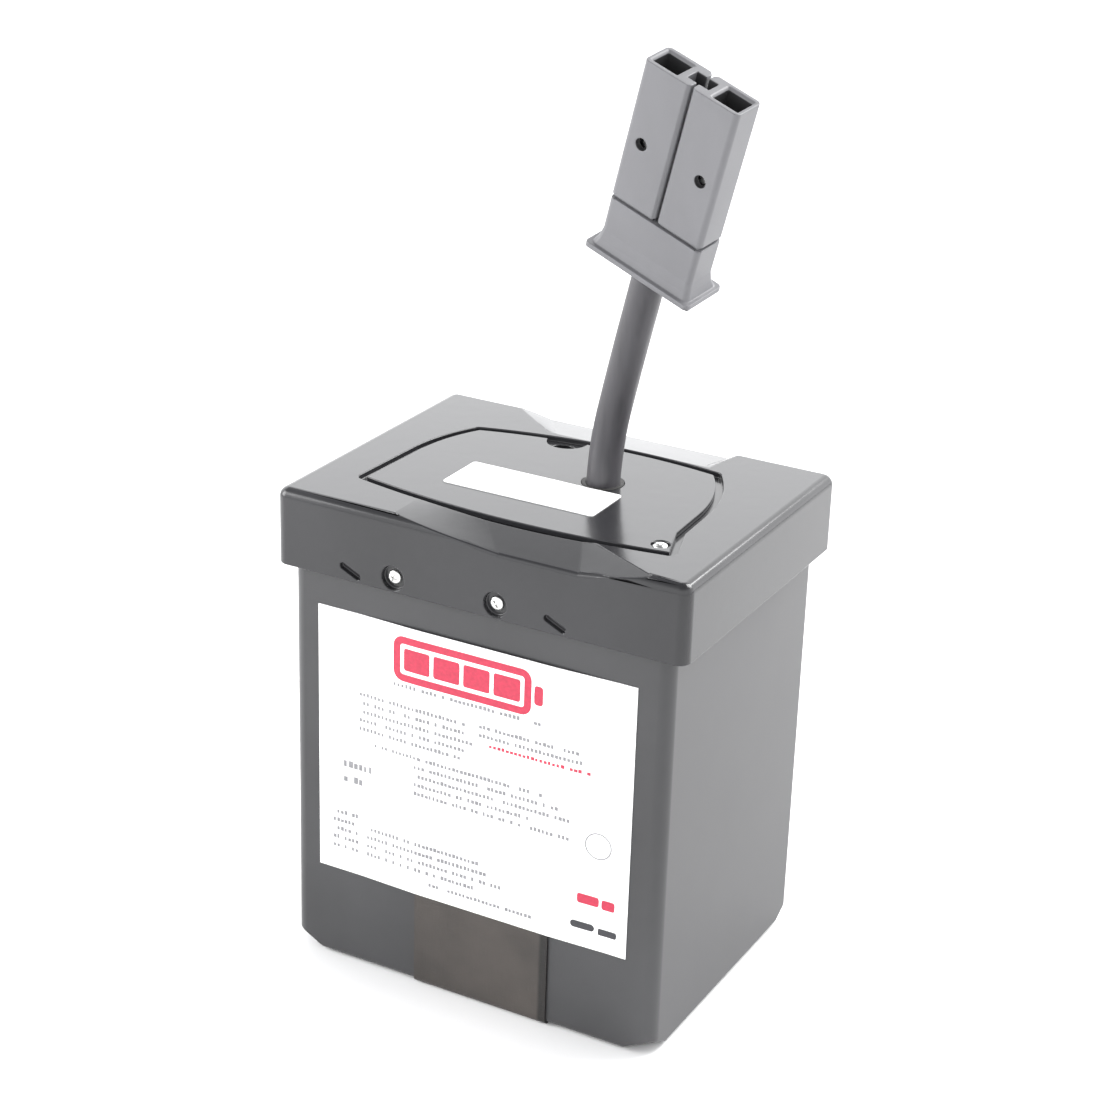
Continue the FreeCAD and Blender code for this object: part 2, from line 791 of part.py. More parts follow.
def contact(side):
    """Flat contact that stands on the socket's floor, with a rolled tip."""
    x = side * socket_centre()
    back = socket_depth / 2
    floor = connector_length - socket_reach
    tip = connector_length - contact_recess
    half = contact_width / 2
    radius = contact_thickness
    blade = box(x - half, x + half, back - contact_thickness, back, floor, tip - radius)
    roll_start = Vector(x - half, back - radius, tip - radius)
    roll = cylinder(radius, roll_start, roll_start + Vector(contact_width, 0, 0))
    return in_connector(blade.fuse(roll).removeSplitter())


def contact_spring(side):
    """Bowed leaf spring on the socket's front wall, opposite the contact."""
    x = side * socket_centre() - spring_width / 2
    front = -socket_depth / 2
    floor = connector_length - socket_reach
    tip = connector_length - contact_recess - contact_thickness
    middle = (floor + tip) / 2
    outer = Part.Arc(Vector(x, front, floor), Vector(x, front + spring_bow, middle), Vector(x, front, tip))
    inner_front = front + spring_thickness
    inner_middle = Vector(x, inner_front + spring_bow, middle)
    inner = Part.Arc(Vector(x, inner_front, tip), inner_middle, Vector(x, inner_front, floor))
    edges = [
        outer.toShape(),
        Part.LineSegment(Vector(x, front, tip), Vector(x, inner_front, tip)).toShape(),
        inner.toShape(),
        Part.LineSegment(Vector(x, inner_front, floor), Vector(x, front, floor)).toShape(),
    ]
    return in_connector(Part.Face(Part.Wire(edges)).extrude(Vector(spring_width, 0, 0)))


def build():
    parts["battery_container"] = container()
    parts["battery_cover"] = battery_cover()
    parts["vent_plate"] = vent_plate()
    parts["vent_caps"] = vent_caps()
    parts["base_band"] = band()
    for side, pole in ((1, "positive"), (-1, "negative")):
        parts["terminal_" + pole] = terminal(side)
        parts["receptacle_" + pole] = receptacle(side)
        parts["lead_" + pole] = inner_lead(side, "lead_" + pole)
    parts["cap_shell"] = cap_shell()
    parts["cap_panel"] = cap_panel()
    parts["skirt_screws"] = skirt_screws()
    parts["panel_screw"] = panel_screw()
    parts["cable_grommet"] = grommet()
    parts["cable_jacket"] = jacket()
    parts["connector_collar"] = collar()
    for side, pole in ((1, "positive"), (-1, "negative")):
        parts["connector_housing_" + pole] = housing(side)
        parts["contact_" + pole] = contact(side)
        parts["contact_spring_" + pole] = contact_spring(side)
    parts["front_label"] = front_label()
    parts["top_label"] = top_label()


def export():
    os.makedirs("parts", exist_ok=True)
    for name, shape in parts.items():
        shape.exportStep("parts/" + name + ".step")
        bound = shape.BoundBox
        low = (round(bound.XMin, 2), round(bound.YMin, 2), round(bound.ZMin, 2))
        high = (round(bound.XMax, 2), round(bound.YMax, 2), round(bound.ZMax, 2))
        print(name, shape.isValid(), len(shape.Solids), round(shape.Volume, 1), low, high)


build()
export()
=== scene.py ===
import math

import bmesh
import bpy
from bpy.props import FloatProperty, FloatVectorProperty, IntProperty, PointerProperty
from bpy.types import Operator, Panel, PropertyGroup
from mathutils import Euler, Matrix, Vector
from mathutils.bvhtree import BVHTree


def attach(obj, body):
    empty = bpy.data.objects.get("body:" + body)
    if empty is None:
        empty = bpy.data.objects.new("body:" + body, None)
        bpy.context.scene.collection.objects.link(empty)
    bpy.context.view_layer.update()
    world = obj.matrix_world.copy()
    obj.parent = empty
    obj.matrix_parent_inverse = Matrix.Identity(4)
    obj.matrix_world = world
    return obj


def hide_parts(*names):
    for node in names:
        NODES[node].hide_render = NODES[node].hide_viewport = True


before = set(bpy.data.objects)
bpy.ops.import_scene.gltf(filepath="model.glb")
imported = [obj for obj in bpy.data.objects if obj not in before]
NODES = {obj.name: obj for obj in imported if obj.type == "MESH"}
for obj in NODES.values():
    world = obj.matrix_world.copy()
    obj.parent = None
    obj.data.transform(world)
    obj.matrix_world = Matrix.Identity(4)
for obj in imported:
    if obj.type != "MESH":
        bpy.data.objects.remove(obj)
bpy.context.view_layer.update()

bl_info = {
    "name": "UPS battery cartridge",
    "version": (1, 0, 0),
    "blender": (4, 5, 0),
    "location": "View3D > Sidebar > Cartridge",
    "description": "Dresses the CAD model of a battery cartridge and sets a studio round it",
    "category": "Object",
}

BODY = "root"
MM = 0.001
WELD = 1e-6  # corners closer than this are joined, in metres
FRONT = -1.0  # a depth well in front of everything, in metres

# The lead's route, from under the lid to inside the connector's collar, in metres.
LEAD_ROUTE = [
    (0.0082, 0.0039, 0.1061),
    (0.0082, 0.0039, 0.1174),
    (0.0123, 0.0037, 0.1368),
    (0.01646, 0.00263, 0.15298),
    (0.01951, 0.00047, 0.16225),
]

# The small print in millimetres, as bars with no words in them: left end, foot of the lowest row,
# width, rows, row pitch, bar height, bar pitch, share of a row that its end may fall short by, ink.
PRINT = {
    "print_under_sign": (-19.3, 71.6, 36.5, 1, 2.0, 0.95, 1.0, 0.0, "ink"),
    "print_upper_left": (-28.0, 58.5, 28.6, 5, 2.05, 1.0, 0.95, 0.15, "ink"),
    "print_upper_right": (1.8, 65.2, 26.0, 2, 2.0, 0.95, 0.95, 0.1, "ink"),
    "print_red_line": (4.3, 63.3, 24.0, 1, 2.0, 0.85, 1.0, 0.0, "accent"),
    "print_middle_first": (-25.0, 55.4, 13.0, 1, 2.0, 0.9, 0.9, 0.0, "ink"),
    "print_middle": (-14.0, 46.9, 40.0, 5, 2.1, 1.0, 0.95, 0.3, "ink"),
    "print_middle_rating": (-32.0, 45.0, 8.0, 2, 3.6, 1.7, 1.3, 0.2, "ink"),
    "print_lower_corner": (-34.7, 28.2, 7.0, 5, 2.1, 1.05, 0.95, 0.2, "ink"),
    "print_lower": (-26.0, 28.2, 36.5, 4, 2.1, 1.0, 0.95, 0.25, "ink"),
    "print_lowest": (-10.0, 25.6, 26.2, 1, 2.0, 0.9, 0.95, 0.0, "ink"),
}
# Plain marks in millimetres: left, bottom, width, height, corner radius, stroke (0 is filled), ink.
MARKS = {
    "mark_ring": (27.4, 44.4, 6.2, 6.2, 3.1, 0.3, "ink"),
    "mark_red_long": (26.1, 33.1, 5.0, 2.3, 0.5, 0, "accent"),
    "mark_red_short": (31.8, 32.9, 3.0, 2.3, 0.5, 0, "accent"),
    "mark_dark_oval": (24.7, 26.9, 5.6, 1.7, 0.8, 0, "dark"),
    "mark_dark_square": (31.2, 26.6, 4.2, 1.6, 0.3, 0, "dark"),
}


# ------------------------ sizes and colours
def length(name, description, default):
    return FloatProperty(
        name=name, description=description, default=default, unit="LENGTH", precision=5
    )


def number(name, description, default, subtype="NONE"):
    return FloatProperty(name=name, description=description, default=default, subtype=subtype)


def position(name, description, default):
    return FloatVectorProperty(
        name=name, description=description, default=default, subtype="TRANSLATION", unit="LENGTH", size=3
    )


def colour(name, description, default):
    return FloatVectorProperty(
        name=name, description=description, default=default, subtype="COLOR", size=3, min=0, max=1
    )


class StageSettings(PropertyGroup):
    aim: position("Aim", "Point that the camera and the lights look at", (0.0002, -0.004, 0.0957))
    azimuth: number("Azimuth", "Camera's turn towards the right side", math.radians(28.21), "ANGLE")
    elevation: number("Elevation", "Camera's height as an angle", math.radians(23.14), "ANGLE")
    roll: number("Roll", "Camera's lean about its own axis", math.radians(1.83), "ANGLE")
    distance: length("Distance", "Camera's distance from the aim", 0.544)
    lens: number("Lens", "Focal length in millimetres", 83.3)
    floor_size: length("Floor size", "Side of the square floor", 8.0)
    floor_colour: colour("Floor colour", "Colour of the floor", (0.86, 0.86, 0.86))
    sweep_strength: number("Back sweep", "Brightness of the lit sweep behind", 3.0)
    front_strength: number("Front", "Brightness of the studio low in front", 2.0)
    sky_strength: number("High backdrop", "Brightness of the studio overhead", 0.3)
    studio_colour: colour("Studio colour", "Colour of the studio's light", (0.985, 0.99, 1.0))
    key_place: position("Key light's place", "Where the key light hangs", (0.45, 0.65, 0.95))
    key_size: length("Key light's size", "Side of the square key light", 0.7)
    key_power: number("Key light", "Power in watts", 17, "POWER")
    fill_place: position("Fill light's place", "Where the fill light hangs", (-0.55, -0.35, 0.35))
    fill_size: length("Fill light's size", "Side of the square fill light", 0.4)
    fill_power: number("Fill light", "Power in watts", 4, "POWER")


class BlockSettings(PropertyGroup):
    container_colour: colour("Container", "Colour of the moulded container", (0.036, 0.036, 0.038))
    cap_colour: colour("Cap", "Colour of the glossy cap", (0.02, 0.02, 0.022))
    band_colour: colour("Band", "Colour of the band round the block", (0.04, 0.034, 0.03))
    # painted shade: the strip this sets is painted shade along the band's right edge, where the tape's
    # step casts its shadow, not dirt
    band_shade_width: length("Band rim", "Width of the dirt along the band's right edge", 2.3 * MM)
    container_edge: length("Container edge", "Softening of the container's edges", 0.15 * MM)
    cap_edge: length("Cap edge", "Softening of the cap's sharp edges", 0.25 * MM)
    lip_edge: length("Lip edge", "Rounding where the scoops run out through the skirt", 0.8 * MM)
    panel_edge: length("Panel edge", "Softening of the lid panel's edges", 0.2 * MM)
    head_radius: length("Screw head", "Radius of the screws' heads", 1.6 * MM)
    head_height: length("Head height", "Height of the screws' heads", 1.0 * MM)
    shank_radius: length("Screw shank", "Radius of the screws' shanks", 1.0 * MM)
    recess_width: length("Recess width", "Width of the cross recess's arms", 0.42 * MM)
    recess_depth: length("Recess depth", "Depth of the cross recess", 0.7 * MM)
    screw_seed: IntProperty(name="Screw seed", description="Seed of the screws' turns", default=3)


class LeadSettings(PropertyGroup):
    diameter: length("Diameter", "Outer diameter of the jacket", 0.0073)
    jacket_colour: colour("Jacket", "Colour of the lead's jacket", (0.05, 0.048, 0.053))


class ConnectorSettings(PropertyGroup):
    colour: colour("Housing", "Colour of the connector's mouldings", (0.135, 0.135, 0.143))
    edge: length("Edge", "Softening of the mouldings' edges", 0.22 * MM)
    # painted shade: the mouths' walls keep only this share of the colour, standing in for the shade
    # inside them
    hollow_shade_share: number("Hollow share", "Share of the colour that is left inside the mouths", 0.2)
    hollow_reach: length("Hollow reach", "Widest gap that counts as a mouth", 13 * MM)


class LabelSettings(PropertyGroup):
    film_colour: colour("Film", "Colour of the label film", (0.93, 0.93, 0.93))
    ink_colour: colour("Ink", "Colour of the small print", (0.2, 0.2, 0.21))
    dark_ink_colour: colour("Dark ink", "Colour of the dark marks", (0.03, 0.03, 0.035))
    accent_colour: colour("Accent ink", "Colour of the battery sign", (0.42, 0.022, 0.055))
    bottom_trim: length("Bottom trim", "Strip cut off the sheet's foot", 1.3 * MM)
    top_trim: length("Top trim", "Strip cut off the sheet's head, added below zero", -0.8 * MM)
    left_trim: length("Left trim", "Strip cut off the sheet's left", 0.5 * MM)
    ink_thickness: length("Ink thickness", "Height of the print above the film", 0.02 * MM)
    word_gaps: number("Word gaps", "Share of the small print's bars that are left out", 0.16)
    sign_left: length("Sign's left", "Where the battery sign starts", -19.3 * MM)
    sign_bottom: length("Sign's bottom", "Height of the battery sign's foot", 73.1 * MM)
    sign_width: length("Sign's width", "Width of the battery sign with its pole", 36 * MM)
    sign_height: length("Sign's height", "Height of the battery sign", 10.4 * MM)
    sign_stroke: length("Sign's stroke", "Width of the battery sign's outline", 1.7 * MM)
    sign_bars: IntProperty(name="Sign's bars", description="Bars inside the battery sign", default=4)
    seed: IntProperty(name="Seed", description="Seed of the print's word lengths", default=7)


# ------------------------ node helpers
NOISE_LOW, NOISE_HIGH = 0.3, 0.7  # most of a noise lies between these


class Shader:
    """A material's node tree, with short ways to add what the finishes share."""

    def __init__(self, name, base, roughness, metallic=0.0):
        self.base = tuple(base)
        self.material = bpy.data.materials.new(name)
        self.material.use_nodes = True
        self.tree = self.material.node_tree
        self.surface = self.tree.nodes["Principled BSDF"]
        self.surface.inputs["Base Color"].default_value = (*base, 1)
        self.surface.inputs["Roughness"].default_value = roughness
        self.surface.inputs["Metallic"].default_value = metallic
        self.place = self.add("ShaderNodeTexCoord").outputs["Object"]

    def add(self, kind, **settings):
        node = self.tree.nodes.new(kind)
        for name, value in settings.items():
            setattr(node, name, value)
        return node

    def link(self, source, target):
        self.tree.links.new(source, target)

    def stretched(self, scale):
        """Object coordinates scaled unevenly, for streaks."""
        mapping = self.add("ShaderNodeMapping")
        mapping.inputs["Scale"].default_value = scale
        self.link(self.place, mapping.inputs["Vector"])
        return mapping.outputs["Vector"]

    def noise(self, scale, detail, place=None):
        node = self.add("ShaderNodeTexNoise")
        node.inputs["Scale"].default_value = scale
        node.inputs["Detail"].default_value = detail
        self.link(place or self.place, node.inputs["Vector"])
        return node.outputs["Fac"]

    def spread(self, value, low, high):
        """Most of a noise spread over low to high, and the rest on past them without a step."""
        node = self.add("ShaderNodeMapRange", clamp=False)
        node.inputs["From Min"].default_value = NOISE_LOW
        node.inputs["From Max"].default_value = NOISE_HIGH
        node.inputs["To Min"].default_value = low
        node.inputs["To Max"].default_value = high
        self.link(value, node.inputs["Value"])
        return node.outputs["Result"]

    def ramp(self, value, dark, light):
        """A colour that goes from dark to light over most of a noise, and on past them evenly."""
        past = NOISE_LOW / (NOISE_HIGH - NOISE_LOW)
        node = self.add("ShaderNodeValToRGB")
        for element, near, far in zip(node.color_ramp.elements, (dark, light), (light, dark)):
            element.color = (*(max(0.0, a + past * (a - b)) for a, b in zip(near, far)), 1)
        self.link(value, node.inputs["Fac"])
        return node.outputs["Color"]

    def bump(self, height, distance):
        node = self.add("ShaderNodeBump")
        node.inputs["Distance"].default_value = distance
        node.inputs["Strength"].default_value = 1.0
        self.link(height, node.inputs["Height"])
        below = self.surface.inputs["Normal"]
        if below.is_linked:
            self.link(below.links[0].from_socket, node.inputs["Normal"])
        self.link(node.outputs["Normal"], below)

    def rough(self, value, low, high):
        self.link(self.spread(value, low, high), self.surface.inputs["Roughness"])

    def tint(self, value, dark, light):
        self.link(self.ramp(value, dark, light), self.surface.inputs["Base Color"])

    def mottle(self, value, low, high):
        """Let the colour stray between these shares of the base colour."""
        self.tint(value, scaled(self.base, low), scaled(self.base, high))

    def paint_shade_beside(self, edge_x, width):
        """Paint shade: fade the colour to near black in a strip of this width that ends at edge_x."""
        full_dark = 0.6  # share of the strip that is as dark as it gets
        left_over = 0.2  # share of the colour that is left there
        split = self.add("ShaderNodeSeparateXYZ")
        self.link(self.place, split.inputs["Vector"])
        fade = self.add("ShaderNodeMapRange", interpolation_type="SMOOTHSTEP")
        fade.inputs["From Min"].default_value = edge_x - width
        fade.inputs["From Max"].default_value = edge_x - width * full_dark
        fade.inputs["To Min"].default_value = 1.0
        fade.inputs["To Max"].default_value = left_over
        self.link(split.outputs["X"], fade.inputs["Value"])
        self.dim(fade.outputs["Result"])

    def paint_hollow_shade(self, share):
        """Keep only this share of the colour where a piece's faces are marked as a hollow's walls:
        painted shade inside the hollows.
        """
        mark = self.add("ShaderNodeAttribute", attribute_name="hollow")
        fade = self.add("ShaderNodeMapRange")
        fade.inputs["To Min"].default_value = 1.0
        fade.inputs["To Max"].default_value = share
        self.link(mark.outputs["Fac"], fade.inputs["Value"])
        self.dim(fade.outputs["Result"])

    def dim(self, factor):
        """Multiply the colour by a factor."""
        colour_in = self.surface.inputs["Base Color"]
        product = self.add("ShaderNodeVectorMath", operation="SCALE")
        self.link(colour_in.links[0].from_socket, product.inputs["Vector"])
        self.link(factor, product.inputs["Scale"])
        self.link(product.outputs["Vector"], colour_in)


def scaled(tint, factor):
    return tuple(min(1.0, channel * factor) for channel in tint)


# ------------------------ finishes
def cap_gloss(settings):
    """Polished black plastic with a faint orange peel and handling haze."""
    shader = Shader("cap_gloss", settings.cap_colour, roughness=0.18)
    haze = shader.noise(scale=35, detail=4)
    shader.rough(haze, low=0.14, high=0.23)
    shader.mottle(haze, low=0.85, high=1.2)
    shader.bump(shader.noise(scale=260, detail=2), distance=0.015 * MM)
    shader.bump(shader.noise(scale=2600, detail=2), distance=0.004 * MM)
    return shader.material


def container_satin(settings):
    """Satin black plastic with the fine grain of a spark-eroded mould."""
    shader = Shader("container_satin", settings.container_colour, roughness=0.34)
    cloud = shader.noise(scale=28, detail=4)
    shader.rough(cloud, low=0.31, high=0.39)
    shader.mottle(cloud, low=0.85, high=1.2)
    shader.bump(shader.noise(scale=3200, detail=2), distance=0.005 * MM)
    return shader.material


def band_tape(settings):
    """Cloth-backed tape: a fine cross weave with slight puckers, and painted shade along its right edge.
    """
    shader = Shader("band_tape", settings.band_colour, roughness=0.5)
    warp = shader.noise(scale=900, detail=2, place=shader.stretched((2.2, 1, 0.25)))
    weft = shader.noise(scale=900, detail=2, place=shader.stretched((0.25, 1, 2.2)))
    pucker = shader.noise(scale=120, detail=2, place=shader.stretched((1, 1, 0.3)))
    cloud = shader.noise(scale=70, detail=4)
    shader.mottle(cloud, low=0.75, high=1.3)
    shader.rough(cloud, low=0.42, high=0.6)
    # painted shade along the band's right edge, where the tape's step casts its shadow
    shader.paint_shade_beside(node_box("base_band")[1].x, settings.band_shade_width)
    shader.bump(warp, distance=0.06 * MM)
    shader.bump(weft, distance=0.06 * MM)
    shader.bump(pucker, distance=0.3 * MM)
    return shader.material


def jacket_pvc(settings):
    """Soft plastic jacket with faint streaks along the lead."""
    shader = Shader("jacket_pvc", settings.jacket_colour, roughness=0.42)
    streak = shader.noise(scale=500, detail=3, place=shader.stretched((1, 1, 0.08)))
    shader.rough(streak, low=0.34, high=0.5)
    shader.mottle(streak, low=0.85, high=1.2)
    shader.bump(streak, distance=0.05 * MM)
    shader.bump(shader.noise(scale=1800, detail=2), distance=0.01 * MM)
    return shader.material


def connector_grey(settings):
    """Moulded grey plastic with a fine matt grain, faint flow marks and painted shade inside the mouths.
    """
    shader = Shader("connector_grey", settings.colour, roughness=0.42)
    flow = shader.noise(scale=90, detail=4, place=shader.stretched((1, 1, 0.35)))
    shader.rough(flow, low=0.36, high=0.5)
    shader.mottle(flow, low=0.93, high=1.07)
    # painted shade inside the mouths
    shader.paint_hollow_shade(settings.hollow_shade_share)
    shader.bump(shader.noise(scale=3000, detail=3), distance=0.01 * MM)
    return shader.material


def metal(name, tint, roughness, streaks):
    """Bright metal with fine tumbling marks."""
    shader = Shader(name, tint, roughness, metallic=1.0)
    marks = shader.noise(scale=streaks, detail=4)
    shader.rough(marks, low=roughness * 0.75, high=roughness * 1.35)
    shader.mottle(marks, low=0.88, high=1.05)
    shader.bump(shader.noise(scale=streaks * 2, detail=3), distance=0.008 * MM)
    return shader.material


def rubber_black():
    """Moulded black rubber, dull with a little dust."""
    shader = Shader("rubber_black", (0.02, 0.02, 0.02), roughness=0.6)
    dust = shader.noise(scale=300, detail=5)
    shader.rough(dust, low=0.5, high=0.72)
    shader.tint(dust, dark=(0.014, 0.014, 0.014), light=(0.034, 0.033, 0.032))
    shader.bump(shader.noise(scale=2400, detail=3), distance=0.02 * MM)
    return shader.material


def insulation(name, tint):
    """Smooth insulation of a lead's core."""
    shader = Shader(name, tint, roughness=0.35)
    streak = shader.noise(scale=400, detail=3)
    shader.rough(streak, low=0.28, high=0.44)
    shader.mottle(streak, low=0.85, high=1.15)
    return shader.material


def label_film(settings):
    """White label film with a faint mottle and a soft gloss."""
    shader = Shader("label_film", settings.film_colour, roughness=0.38)
    cloud = shader.noise(scale=140, detail=4)
    shader.rough(cloud, low=0.35, high=0.46)
    shader.mottle(cloud, low=0.97, high=1.02)
    shader.bump(shader.noise(scale=90, detail=2), distance=0.08 * MM)
    return shader.material


def ink(name, tint):
    """Printed ink with a faint speckle."""
    shader = Shader(name, tint, roughness=0.4)
    speckle = shader.noise(scale=1500, detail=3)
    shader.rough(speckle, low=0.34, high=0.48)
    shader.mottle(speckle, low=0.9, high=1.15)
    return shader.material


# ------------------------ mesh helpers
DRAWN_SHARP = math.radians(4)  # normals further apart than this were drawn as an edge
LEAST_EDGE = math.radians(5)  # faces that meet flatter than this get no softening
FLAT = 1e-4  # faces and edges that meet flatter than this are merged
SCREW_SHARP = math.radians(32)  # a screw's faces that meet sharper than this show an edge


def set_material(obj, material):
    obj.data.materials.clear()
    obj.data.materials.append(material)


def new_object(name, data):
    obj = bpy.data.objects.new(name, data)
    bpy.context.scene.collection.objects.link(obj)
    return obj


def softened(node, name, width, material, wide=0, is_wide=None, hollow_reach=0):
    """A copy of a CAD node whose sharp edges get a small rounding, standing for that node.

    Edges that is_wide accepts get the wide rounding instead. Hollows narrower than hollow_reach
    have their walls marked, for the material to paint shade on them.
    """
    full = max(width, wide)
    source = NODES[node].data
    mesh = source.copy()
    mesh.name = name
    normals = [tuple(corner.vector) for corner in source.corner_normals]
    build = bmesh.new()
    build.from_mesh(mesh)
    drawn = build.loops.layers.float_vector.new("drawn_normal")
    for face in build.faces:
        for loop in face.loops:
            loop[drawn] = normals[loop.index]
    bmesh.ops.remove_doubles(build, verts=build.verts, dist=WELD)
    weight = build.edges.layers.float.new("bevel_weight_edge")
    for edge in build.edges:
        if is_drawn_sharp(edge, drawn):
            edge[weight] = (wide if is_wide and is_wide(edge) else width) / full
    flat = [edge for edge in build.edges if edge.calc_face_angle(0) < FLAT and edge[weight] == 0]
    bmesh.ops.dissolve_edges(build, edges=flat, use_verts=False)
    straight = [vert for vert in build.verts if len(vert.link_edges) == 2]
    straight = [vert for vert in straight if vert.calc_edge_angle(1) < FLAT]
    bmesh.ops.dissolve_verts(build, verts=straight)
    build.loops.layers.float_vector.remove(build.loops.layers.float_vector["drawn_normal"])
    for face in build.faces:
        face.smooth = True
    for edge in build.edges:
        edge.smooth = True
    mark_shaded_hollows(build, hollow_reach)
    build.to_mesh(mesh)
    build.free()
    piece = new_object(name, mesh)
    bevel = piece.modifiers.new("Soft edges", "BEVEL")
    bevel.width = full
    bevel.segments = 4 if is_wide else 2
    bevel.limit_method = "WEIGHT"
    bevel.use_clamp_overlap = False
    bevel.miter_outer = "MITER_ARC"
    weighted = piece.modifiers.new("Even shading", "WEIGHTED_NORMAL")
    weighted.weight = 80
    set_material(piece, material)
    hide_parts(node)
    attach(piece, BODY)
    return piece


def mark_shaded_hollows(build, reach):
    """Mark the faces that look at another face of the same piece across less than reach, for painted
    shade.
    """
    mark = build.faces.layers.float.new("hollow")
    tree = BVHTree.FromBMesh(build)
    clear = 0.01 * MM  # so that a ray doesn't meet the face it starts from
    for face in build.faces:
        start = face.calc_center_median() + face.normal * clear
        facing = tree.ray_cast(start, face.normal, reach)[0] if reach else None
        face[mark] = 0.0 if facing is None else 1.0


def is_drawn_sharp(edge, layer):
    """Whether an edge is more than a faint one and its faces were drawn with different normals."""
    if len(edge.link_faces) != 2:
        return True
    if edge.calc_face_angle(0) < LEAST_EDGE:
        return False
    for vert in edge.verts:
        ways = []
        for face in edge.link_faces:
            for loop in face.loops:
                if loop.vert is vert:
                    ways.append(loop[layer])
        if ways[0].angle(ways[1], 0) > DRAWN_SHARP:
            return True
    return False


def mesh_from(build, name):
    mesh = bpy.data.meshes.new(name)
    build.to_mesh(mesh)
    build.free()
    return mesh


def node_box(name):
    """Lowest and highest corner of a CAD node."""
    places = [vert.co for vert in NODES[name].data.vertices]
    low = Vector(min(place[axis] for place in places) for axis in range(3))
    high = Vector(max(place[axis] for place in places) for axis in range(3))
    return low, high


def finish_nodes(material, *names):
    for name in names:
        set_material(NODES[name], material)


# ------------------------ geometry node groups
# Random Value has sockets of the same name for each kind of value, so they go by number.
LEAST_VECTOR, MOST_VECTOR, LEAST_NUMBER, MOST_NUMBER = 0, 1, 2, 3  # its inputs
RANDOM_VECTOR, RANDOM_NUMBER, RANDOM_CHOICE = 0, 1, 3  # its outputs


class Group:
    """A Geometry Nodes group with named inputs, and short ways to add its nodes."""

    def __init__(self, name, inputs):
        self.tree = bpy.data.node_groups.new(name, "GeometryNodeTree")
        sockets = self.tree.interface
        sockets.new_socket("Geometry", in_out="OUTPUT", socket_type="NodeSocketGeometry")
        for label, kind in inputs.items():
            sockets.new_socket(label, in_out="INPUT", socket_type="NodeSocket" + kind)
        self.given = self.add("NodeGroupInput").outputs

    def add(self, kind, links=(), **settings):
        node = self.tree.nodes.new(kind)
        for name, value in settings.items():
            setattr(node, name, value)
        for name, value in dict(links).items():
            self.feed(node.inputs[name], value)
        return node

    def feed(self, target, value):
        if isinstance(value, bpy.types.NodeSocket):
            self.tree.links.new(value, target)
        else:
            target.default_value = value

    def math(self, operation, *values):
        node = self.add("ShaderNodeMath", operation=operation)
        for target, value in zip(node.inputs, values):
            self.feed(target, value)
        return node.outputs[0]

    def vector(self, x=0.0, y=0.0, z=0.0):
        return self.add("ShaderNodeCombineXYZ", {"X": x, "Y": y, "Z": z}).outputs[0]

    def end(self, geometry, material):
        """Close the tree with Realize Instances and Set Material."""
        realize = self.add("GeometryNodeRealizeInstances", {"Geometry": geometry})
        paint = self.add("GeometryNodeSetMaterial", {
            "Geometry": realize.outputs[0], "Material": material,
        })
        last = self.add("NodeGroupOutput")
        self.tree.links.new(paint.outputs[0], last.inputs["Geometry"])
        return self.tree


def grown(name, tree, **values):
    """A plain mesh object of what a node group makes from these inputs."""
    obj = new_object(name, bpy.data.meshes.new(name + "_seed"))
    modifier = obj.modifiers.new(tree.name, "NODES")
    modifier.node_group = tree
    for item in tree.interface.items_tree:
        key = item.name.lower().replace(" ", "_")
        if item.in_out == "INPUT" and key in values:
            modifier[item.identifier] = values[key]
    evaluated = obj.evaluated_get(bpy.context.evaluated_depsgraph_get())
    mesh = bpy.data.meshes.new_from_object(evaluated)
    mesh.name = name
    while mesh.materials[0] is None:  # the empty start has a slot without a material
        mesh.materials.pop(index=0)
    obj.modifiers.remove(modifier)
    obj.data = mesh
    return obj


